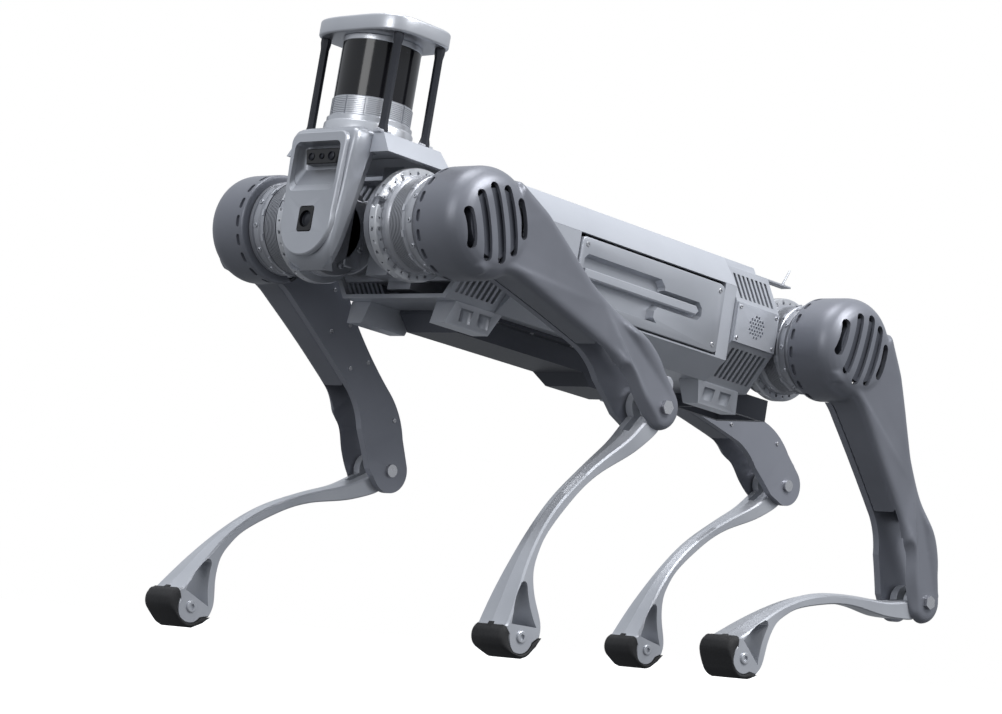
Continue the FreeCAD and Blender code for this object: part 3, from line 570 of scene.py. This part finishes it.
def knee_lever():
    """Two plates above the knee with the push rod's bolt through them, and the knee's bearing rims."""
    outline = trace((-14, -2), ((-14.2, 8), (-9.6, 33)), ((0, 46), (9.6, 33)), ((14.2, 8), (14, -2)),
                    (-14, -2))
    rim = [(16, 6), (20, 6), (20, 16.8), (18.8, 18), (9, 18), (9, 17.2), (5.6, 17.2)]
    items = [lathe("rim", [(r, y * s) for r, y in rim], steps=48) for s in (1, -1)]
    items += [plate("lever", outline, soft(low, low + 5, 0.8)) for low in (6, -11)]
    bolt = lathe("bolt", [(3.9, -13.5), (6.5, -13.5), (6.5, -11), (4, -11), (4, 11), (6.5, 11),
                          (6.5, 13.5), (3.9, 13.5)], steps=20)
    return [*items, move(bolt, shift(z=36))]


def calf_mesh():
    """Shin with the foot's window and the knee's gap, its lever, and the bolt through the foot."""
    window = plate("window", trace((22, -348), ((31, -328), (36.3, -303)), ((34, -295.5), (27, -297)),
                                   ((6, -316), (-13.5, -326)), (22, -348), pitch=3), [(-50, 0), (50, 0)])
    gap = block("gap", (-40, 40), (-6, 6), (-46, 40))
    shin = carve(shin_mesh(), window, gap, solver="EXACT")
    ends = [shift(0, 23.8, -SHIN), shift(0, -23.8, -SHIN) @ turn(math.pi, "X")]
    return join("calf", [shin, *knee_lever(), copies(screw(7.2, 3.4, "y"), ends)])


def evenly(points, count):
    """The open polyline as count points at equal distances."""
    run = np.cumsum([0] + [(q - p).length for p, q in zip(points, points[1:])])
    at = np.linspace(0, run[-1], count)
    xs, ys = (np.interp(at, run, values) for values in zip(*points))
    return [Vector(pair) for pair in zip(xs, ys)]


def sole_mesh():
    """Rubber round the toe and heel with rounded rims, tread grooves and a locating tab in front."""
    stations, last_groove = 34, 24
    outer = evenly(trace((29.2, -355.6), ((28.6, -369.4), (14.5, -377.3)), (-7.5, -373.8),
                         ((-17.6, -368.4), (-24.2, -358.6)), (-27.4, -344), (-26, -331), pitch=2), stations)
    inner = evenly(trace((18.4, -358.9), ((0, -370.3), (-19.4, -344.2)), (-25.2, -331.6), pitch=2), stations)
    rings = []
    for n, (out, room) in enumerate(zip(outer, inner)):
        deep = out - room
        groove = 0.7 if n % 3 == 1 and n < last_groove else 0.0
        section = [(0, 25.2), (0.35, 26), (0.6, 25.8), (0.85, 24.2), (1 - groove / deep.length, 21)]
        ring = [(room + deep * f, y) for f, y in section]
        ring += [(p, -y) for p, y in reversed(ring)]
        rings.append([(p.x, y, p.y) for p, y in ring])
    tab = plate("tab", trace((25, -358), (25, -352), ((26.5, -350.4), (29.6, -352)), (29.6, -358),
                             (25, -358)), soft(-4.5, 4.5, 1))
    return join("sole", [skin("rubber", rings), tab])


def legs():
    """The four legs' skins, all from the same thigh, calf and sole."""
    thigh, calf, sole = thigh_mesh(), calf_mesh(), sole_mesh()
    for leg, side in SIDES.items():
        upper, lower = FRAMES[leg]
        place(thigh, leg + "_arm_skin", upper, leg + "_thigh", "grey_shell", [leg + "_thigh_shell"], side, 40)
        place(calf, leg + "_shin", lower, leg + "_calf", "shin_alloy", [leg + "_calf"], side)
        place(sole, leg + "_sole", lower, leg + "_calf", "rubber", [leg + "_foot"], side, 40)
    discard(thigh, calf, sole)


# ---------------------------------------------------------------- hip unit
def motor_profile():
    """Radius and height of the hip motor from the carrier's ring to the thigh, with its cooling fins."""
    root, rim, first_fin, pitch = 53, 56.2, 101.2, 2.5
    steps = [(20, 80.2), (51.8, 80.2), (51.8, 88.3), (57.2, 88.3), (58, 89.2), (58, 96), (56.6, 97.4),
             (55.4, 99.5), (root, 100.5)]
    for y in (first_fin + pitch * n for n in range(8)):
        steps += [(root, y), (rim, y + 0.25), (rim, y + 1.25), (root, y + 1.5)]
    return steps + [(root, 121.6), (57, 121.9), (57, 126.5), (55.8, 127.3), (55.8, 131), (57, 132),
                    (57, 139), (54.6, 140.2), (54.6, 143), (56.5, 143.8), (56.5, 148.4), (55.5, 149.4),
                    (14, 149.4), (14, 158.5), (2, 158.5)]


def hip_motor():
    """Finned drum with a ring of screws and clips."""
    lug = move(screw(3.0, 2.2), shift(0, 135.5, 56.2))
    clip = move(block("clip", (-4, 4), (122.4, 126), (56.2, 58.4)), turn(0.26, "Y"))
    ring = copies(join("lugs", [lug, clip]), [turn(a, "Y") for a in around(12, 0.3)])
    return join("motor", [lathe("motor", motor_profile(), steps=96), ring])


def hip_ring(end):
    """Bright split ring round the motor's root, with screw holes large and small."""
    ring = lathe("ring", [(54, 76.3), (65.5, 76.3), (66.5, 77.3), (66.5, 86.8), (65.5, 88), (54, 88)],
                 steps=96)
    mid = lathe("mid", [(52.2, 70), (52.2, 95)], steps=96)
    holes = []
    for n, angle in enumerate(around(30)):
        across, down = (2.2, 2.4) if n % 2 else (1.4, 1.5)
        hole = lathe("hole", [(across, 84), (across, 92)], steps=12)
        pit = lathe("pit", [(down, 62), (down, 70)], "x", 12)
        holes.append(move(hole, turn(angle, "Y") @ shift(60.2)))
        holes.append(move(pit, turn(angle, "Y") @ shift(y=82)))
    split = block("split", (40, 75), (70, 95), (-5, 5))
    move(split, turn(math.radians(-12 if end > 0 else 192), "Y"))
    carve(ring, mid, join("holes", holes), split)
    return bake(bevel(ring, 0.3, 50, 1))


def hip_yoke(end):
    """Flange on the roll motor's shaft, with the bridge and the drum that hold the thigh motor."""
    drum = lathe("drum", [(18, 56.4), (40, 56.4), (41, 58), (52, 58), (56.5, 57), (57.8, 58.2), (57.8, 66),
                          (55.6, 67), (55.6, 70), (57.8, 71), (57.8, 75.6), (57, 76.4), (51.9, 76.4),
                          (51.9, 80.2), (18, 80.2)], steps=96)
    flange = lathe("flange", [(14.2, -58.2), (44.8, -58.2), (45.8, -57.2), (45.8, -47), (44.8, -46),
                              (14.2, -46)], "x", 72)
    move(flange, shift(y=ROLL_Y))
    carve(flange, block("outboard", (-80, 0), (87.8, 140), (-80, 80)))
    bridge = plate("bridge", trace((-56, -42), (-22, -42), (-22, 42), (-56, 42), (-56, -42), pitch=90),
                   soft(56.4, 87.6, 3))
    screws = copies(screw(3.6, 3, "y"),
                    [turn(a, "Y") @ shift(46, 56) @ turn(math.pi, "X") for a in around(8)])
    whole = join("yoke", [drum, flange, bridge, screws])
    if end < 0:
        move(whole, Matrix.Diagonal((-1, 1, 1, 1)))
        whole.data.flip_normals()
    return whole


def hips():
    """Each hip's motor, yoke and ring, which all ride on the roll joint."""
    motor = hip_motor()
    for leg, side in SIDES.items():
        end = 1 if leg[0] == "f" else -1
        seat, body = TRUNK @ shift(HIP_X * end), leg + "_hip"
        yoke, ring = hip_yoke(end), hip_ring(end)
        place(motor, leg + "_hip_motor", seat, body, "motor_alloy", [leg + "_thigh_motor"], side)
        place(yoke, leg + "_hip_yoke", seat, body, "motor_alloy", [leg + "_hip_carrier"], side)
        place(ring, leg + "_hip_ring", seat, body, "bright_alloy", (), side)
        discard(yoke, ring)
    discard(motor)


# ---------------------------------------------------------------- head
LENS_Z = -14.0


def head_pocket():
    """Scooped room of the depth camera: deep at the top and sloping out to the panel below."""
    return plate("pocket", trace((436, 79), (404, 79), (404, 50), (423.5, 20), (436, 20), (436, 79),
                                 pitch=90), soft(-40, 40, 8, 5))


def lens_room():
    """The square opening of the front camera."""
    return plate("lens_room", trace((-9, -29.5), (9, -29.5), ((11.9, -28.4), (13, -25.5)), (13, -2.5),
                                    ((11.9, 0.4), (9, 1.5)), (-9, 1.5), ((-11.9, 0.4), (-13, -2.5)),
                                    (-13, -25.5), ((-11.9, -28.4), (-9, -29.5)), pitch=2),
                 [(398, 0), (436, 0)], "x")


def hip_room(side):
    """Ball about the hip that the turning motor needs."""
    mesh = bpy.data.meshes.new("hip")
    work = bmesh.new()
    bmesh.ops.create_icosphere(work, subdivisions=4, radius=61.5)
    work.to_mesh(mesh)
    work.free()
    return move(link("hip", mesh), shift(HIP_X, ROLL_Y * side))


def head_skin():
    """Head shell: flat front, rounded crown, sloping chin and a facet down each rear edge."""
    front = spline([(-70, 399), (-65, 406), (-58, 412.5), (-50, 416.5), (-40, 418), (0, 418), (50, 418),
                    (84, 418), (92, 416.4), (97.5, 412), (101, 404)])
    wide = spline([(-70, 27), (-64, 33.5), (-54, 39), (-40, 43.4), (-20, 46.6), (20, 51), (60, 55),
                   (84, 56.8), (92, 55), (97.5, 50.6), (101, 44)])
    round_r, facet = 6.5, 11
    quarter = [math.pi / 2 * k / 5 for k in (1, 2, 3, 4, 5)]
    rings = []
    for z in (-70, -69, -67, -64, -60, -55, -48, -40, -28, -14, 0, 16, 32, 48, 64, 76, 84, 88, 92, 95,
              97.5, 99.5, 101):
        xf, w = front(z), wide(z)
        xr = 389.5 - 0.121 * z
        half = [(xf, 0), (xf, w - 14), (xf, w - round_r)]
        half += [(xf - round_r + round_r * math.cos(a), w - round_r + round_r * math.sin(a)) for a in quarter]
        half += [(xr + facet, w), (xr, w - 6.5), (xr, w - 13), (xr, 0)]
        rings.append([(x, y, z) for x, y in half] + [(x, -y, z) for x, y in reversed(half[1:-1])])
    deck = block("deck", (300, 380.4), (-70, 70), (69.6, 110))
    return carve(skin("head", rings), hip_room(1), hip_room(-1), deck, head_pocket(), lens_room())


def face_panel():
    """Panel on the head's front, a little proud of it."""
    outline = trace((36, 91), (-36, 91), ((-45, 87.5), (-48.5, 79)), (-44, -8), ((-32, -44), (0, -57.5)),
                    ((32, -44), (44, -8)), (48.5, 79), ((45, 87.5), (36, 91)), pitch=3)
    panel = plate("panel", outline, [(418.1, 0), (421.6, 0), (423, 0.5), (424, 1.8)], "x")
    return carve(panel, head_pocket(), lens_room())


def depth_eyes():
    """The depth camera's three lenses."""
    eyes = []
    for y, r in ((-18, 4.6), (0, 3.6), (17, 5.4)):
        eye = lathe("eye", [(r, 412), (r, 416.6), (r * 0.82, 417.2), (r * 0.74, 415.8), (r * 0.5, 415.9),
                            (r * 0.2, 416.4)], "x", 28)
        eyes.append(move(eye, shift(0, y, 63)))
    return join("eyes", eyes)


def lens_frame():
    """Square frame of the front camera with its round dish."""
    rim = plate("rim", trace((-9, -29), (9, -29), ((11.5, -28), (12.5, -25.5)), (12.5, -2.5),
                             ((11.5, 0), (9, 1)), (-9, 1), ((-11.5, 0), (-12.5, -2.5)), (-12.5, -25.5),
                             ((-11.5, -28), (-9, -29)), pitch=2),
                [(398.2, 0), (423.6, 0), (424.4, 0.8)], "x")
    return carve(rim, move(lathe("dish", [(9.6, 419), (10.4, 430)], "x", 36), shift(z=LENS_Z)))


def head():
    """Head shell, its panel and its cameras."""
    settle(head_skin(), "head_skin", "silver_shell", ["head_shell"], 28)
    settle(face_panel(), "face_skin", "face_panel", ["face_plate"], 24)
    bar = plate("bar", trace((-29, 72.5), (29, 72.5), (30, 70), (26, 54), (-26, 54), (-30, 70), (-29, 72.5),
                             pitch=90), [(404.2, 0), (414.6, 0), (415.6, 1)], "x")
    settle(bar, "eye_bar", "dark_window", ["depth_camera"])
    settle(depth_eyes(), "eye_rims", "black_post")
    settle(lens_frame(), "lens_frame", "dark_window", ["front_camera"])
    lens = lathe("lens", [(9.3, 417), (9.3, 421), (7.6, 422), (7, 421), (5.4, 421.4), (3, 422.2),
                          (0.4, 422.6)], "x", 36)
    settle(move(lens, shift(z=LENS_Z)), "lens_barrel", "black_post")


# ---------------------------------------------------------------- sensor tower
def post_seats(z=0.0):
    """Places of the four posts round the mast."""
    return [shift(MAST_X + POST_X * a, POST_Y * b, z) for a in (1, -1) for b in (1, -1)]


def guard():
    """Rounded plate over the scanner, with a low screw above each post."""
    half_x, half_y, power = 56, 78, 0.56
    line = []
    for angle in around(96, 0):
        c, s = math.cos(angle), math.sin(angle)
        line.append(Vector((MAST_X + half_x * math.copysign(abs(c) ** power, c),
                            half_y * math.copysign(abs(s) ** power, s))))
    slab = plate("guard", line, soft(217, 237, 3.2, 4), "z")
    settle(slab, "guard_skin", "bright_alloy", ["guard_plate"], 40)
    flat = Matrix.Diagonal((1, 1, 0.3, 1))
    heads = copies(screw(4.2, 2), [seat @ flat for seat in post_seats(236.4)])
    settle(heads, "guard_screws", "steel")


def posts():
    """Four octagonal posts with thicker ends."""
    post = lathe("post", [(6.4, 96.2), (6.8, 97), (6.8, 102), (5.3, 108), (5.3, 204), (6.6, 211),
                          (6.6, 216.2), (6, 216.9)], "z", 8)
    all_four = copies(post, [seat @ turn(math.pi / 8, "Z") for seat in post_seats()])
    settle(all_four, "post_skins", "black_post", ["guard_posts"], 20)


def lidar():
    """Scanner: ribbed base with upright marks, dark window and cap."""
    ribs = []
    for z in (119.4 + 2.2 * n for n in range(10)):
        ribs += [(48.3, z), (48.3, z + 1.3), (47, z + 1.5), (47, z + 2.1)]
    base = lathe("base", [(20, 96.2), (52.6, 96.2), (53.2, 97), (53.2, 110), (52.4, 111.4), (51, 112.4),
                          (51, 117.6), (49.4, 118.8), *ribs, (47.4, 142), (20, 142)], "z", 96)
    mark = block("mark", (46.4, 60), (-1, 1), (119, 141))
    carve(base, copies(mark, [turn(a, "Z") for a in around(12, 0.3)]))
    cap = lathe("cap", [(20, 210), (46.8, 210), (47.4, 210.6), (47.4, 216.2), (46.8, 216.8), (20, 216.8)],
                "z", 96)
    housing = move(join("housing", [base, cap]), shift(MAST_X))
    settle(housing, "lidar_skin", "bright_alloy", ["lidar_housing"])
    glass = move(lathe("glass", [(20, 142), (47, 142), (47, 210), (20, 210)], "z", 96), shift(MAST_X))
    settle(glass, "lidar_glass", "dark_window", ["lidar_window"])


def post_tabs():
    """A foot under each post, held by two small screws."""
    tab = plate("tab", trace((-9, -6), (9, -6), (9, 6), (-9, 6), (-9, -6), pitch=90),
                soft(95.6, 99.6, 1), "z")
    pair = copies(screw(1.9, 1.6), [shift(x, 0, 99.5) for x in (-6.82, 6.82)])
    settle(copies(join("tab", [tab, pair]), post_seats()), "post_tabs", "motor_alloy")


# ---------------------------------------------------------------- body
def battery():
    """Battery face with its stepped recess, handle bar and corner screws."""
    door = plate("door", trace((-160, -41), (90, -41), ((93.5, -39.5), (95, -36)), (95, 41),
                               ((93.5, 44.5), (90, 46)), (-156, 46), ((-162.4, 43.4), (-165, 37)),
                               (-165, -36), ((-163.5, -39.5), (-160, -41)), pitch=60),
                 [(113.2, 0), (123.4, 0), (124.6, 0.5), (125, 1.4)])
    recess = plate("recess", trace((88, 20), (82, 26), (-49, 26), (-57, 18), (-57, 14), (-121, 14), (-128, 7),
                                   (-128, -3), (-122, -9), (-50, -9), (-44, -15), (-44, -23), (-51, -29),
                                   (82, -29), (88, -22), (88, 20), pitch=300),
                   [(115, 3.4), (119, 1.6), (125.2, 0), (128, 0)])
    settle(carve(door, recess), "battery_skin", "silver_shell", ["battery_door"], 24, "battery")
    bar = plate("bar", trace((-118, 8.6), (-124, 3), (-118, -3), (78, -3), (83, 2), (83, 8.6), (-118, 8.6),
                             pitch=300), [(114.8, 0), (123.4, 0), (124.8, 1.6)])
    settle(bar, "battery_bar", "silver_shell", (), 24, "battery")
    knobs = copies(screw(3.2, 2, "y"), [shift(x, 123.9, z) for x in (-156, 86) for z in (37, -32)])
    settle(knobs, "battery_screws", "steel", body="battery")


def body_screws():
    """Screws of the round grilles and the belly flange."""
    seats = [shift(end * (229 + a), s * 127.4, z) @ turn(-s * math.pi / 2, "X")
             for end in (1, -1) for s in (1, -1) for a in (-34, 34) for z in (-14, 26)]
    seats += [shift(x, s * 68, -75.9) @ turn(math.pi, "X")
              for x in (-110, -40, 30, 100, 160) for s in (1, -1)]
    settle(copies(screw(2.4, 1.5), seats), "body_screws", "steel")


def tail_aerial():
    """Small leaning antenna on a strip at the tail's left corner."""
    strip = plate("strip", trace((-324, 73), (-250, 73), (-250, 89), (-324, 89), (-324, 73), pitch=90),
                  soft(79.4, 82.2, 0.8), "z")
    stub = lathe("stub", [(3.4, 81.6), (3.4, 84), (1.5, 85), (1.3, 104), (0.6, 104.8)], "z", 20)
    move(stub, shift(-314, 81) @ Matrix.Shear("XY", 4, (-0.5, 0)) @ shift(40))
    settle(join("aerial", [strip, stub]), "tail_aerial", "motor_alloy")


def cover_screws():
    """Screws down the inside of each thigh."""
    spots = ((-40, -110), (-38, -160), (-39, -215), (-8, -150), (-10, -205), (-38, -300))
    inner = copies(screw(2.6, 1.8), [shift(x, -30, z) @ turn(math.pi / 2, "X") for x, z in spots])
    for leg, side in SIDES.items():
        place(inner, leg + "_cover_screws", FRAMES[leg][0], leg + "_thigh", "steel", (), side)
    discard(inner)


def soften_nodes():
    """Rounded edges on the CAD nodes that stay visible."""
    widths = {"chassis": 1.2, "top_cover": 1.6, "end_housings": 1.0, "fan_plates": 0.4, "belly_pan": 1.5,
              "rest_pads": 1.2, "rear_guard": 1.0, "sensor_deck": 1.2}
    widths.update({leg + "_thigh_inner_cover": 1.5 for leg in SIDES})
    for name, width in widths.items():
        bevel(frame["nodes"][name], width * 0.001, 28, 2)


legs()
hips()
head()
guard()
posts()
lidar()
post_tabs()
battery()
body_screws()
tail_aerial()
cover_screws()
soften_nodes()


# ---------------------------------------------------------------- floor, light, camera
def floor_sheet():
    """A flat pale floor, faintly luminous, that neither lights the robot nor shows in its metal."""
    half = 14.0
    mesh = bpy.data.meshes.new("floor")
    mesh.from_pydata([(-half, -half, 0), (half, -half, 0), (half, half, 0), (-half, half, 0)], [],
                     [(0, 1, 2, 3)])
    mat = bpy.data.materials.new("pale_floor")
    mat.use_nodes = True
    nodes, links = mat.node_tree.nodes, mat.node_tree.links
    shader = nodes["Principled BSDF"]
    clouds = nodes.new("ShaderNodeTexNoise")
    clouds.inputs["Scale"].default_value = 3.0
    ramp = nodes.new("ShaderNodeValToRGB")
    for stop, grey in zip(ramp.color_ramp.elements, (0.44, 0.47)):
        stop.color = (grey, grey, grey, 1)
    links.new(clouds.outputs["Fac"], ramp.inputs["Fac"])
    links.new(ramp.outputs["Color"], shader.inputs["Base Color"])
    shader.inputs["Roughness"].default_value = 1.0
    shader.inputs["Specular IOR Level"].default_value = 0.0
    shader.inputs["Emission Color"].default_value = (1, 1, 1, 1)
    shader.inputs["Emission Strength"].default_value = 0.82
    mesh.materials.append(mat)
    floor = link("floor", mesh)
    floor.visible_diffuse = floor.visible_glossy = False


def area_light(name, stand, aim, size, power):
    """A soft square light that points at aim."""
    data = bpy.data.lights.new(name, "AREA")
    data.size, data.energy = size, power
    lamp = link(name, data)
    lamp.location = stand
    lamp.rotation_euler = (Vector(aim) - Vector(stand)).to_track_quat("-Z", "Y").to_euler()


def studio():
    """White backdrop for the camera, a room that is dark below and bright above, and three soft lights."""
    world = bpy.data.worlds.new("studio")
    world.use_nodes = True
    nodes, links = world.node_tree.nodes, world.node_tree.links
    where = nodes.new("ShaderNodeTexCoord")
    height = nodes.new("ShaderNodeSeparateXYZ")
    links.new(where.outputs["Generated"], height.inputs["Vector"])
    sky = nodes.new("ShaderNodeMapRange")
    sky.inputs["From Min"].default_value = -0.6
    sky.inputs["To Min"].default_value = 0.16
    sky.inputs["To Max"].default_value = 1.0
    links.new(height.outputs["Z"], sky.inputs["Value"])
    room = nodes["Background"]
    room.inputs["Color"].default_value = (0.9, 0.94, 1, 1)
    links.new(sky.outputs["Result"], room.inputs["Strength"])
    backdrop = nodes.new("ShaderNodeBackground")
    backdrop.inputs["Color"].default_value = (1, 1, 1, 1)
    seen = nodes.new("ShaderNodeLightPath")
    mix = nodes.new("ShaderNodeMixShader")
    links.new(seen.outputs["Is Camera Ray"], mix.inputs["Fac"])
    links.new(room.outputs["Background"], mix.inputs[1])
    links.new(backdrop.outputs["Background"], mix.inputs[2])
    links.new(mix.outputs["Shader"], nodes["World Output"].inputs["Surface"])
    bpy.context.scene.world = world
    area_light("key", (-0.6, 2.6, 3.0), (0, 0, 0.4), 1.8, 120)
    area_light("top", (0.4, -0.4, 3.6), (0, 0, 0.4), 1.6, 42)
    area_light("front", (3.2, 0.6, 1.4), (0.3, 0, 0.4), 1.2, 16)


def camera():
    """A low viewpoint, ahead of the robot and to its left, with a slight roll."""
    data = bpy.data.cameras.new("view")
    data.sensor_width, data.lens = 36, 125.7
    data.clip_end = 60
    eye, target = Vector((3.1666, 3.0729, 0.016)), Vector((0.1628, -0.051, 0.3689))
    rolled_side = Vector((-0.7122, 0.6959, 0.0926))
    forward = (target - eye).normalized()
    right = (rolled_side - forward * rolled_side.dot(forward)).normalized()
    turned = Matrix((right, right.cross(forward), -forward)).transposed().to_4x4()
    cam = link("view", data)
    cam.matrix_world = Matrix.Translation(eye) @ turned
    bpy.context.scene.camera = cam


floor_sheet()
studio()
camera()
bpy.context.scene.view_settings.view_transform = "Standard"
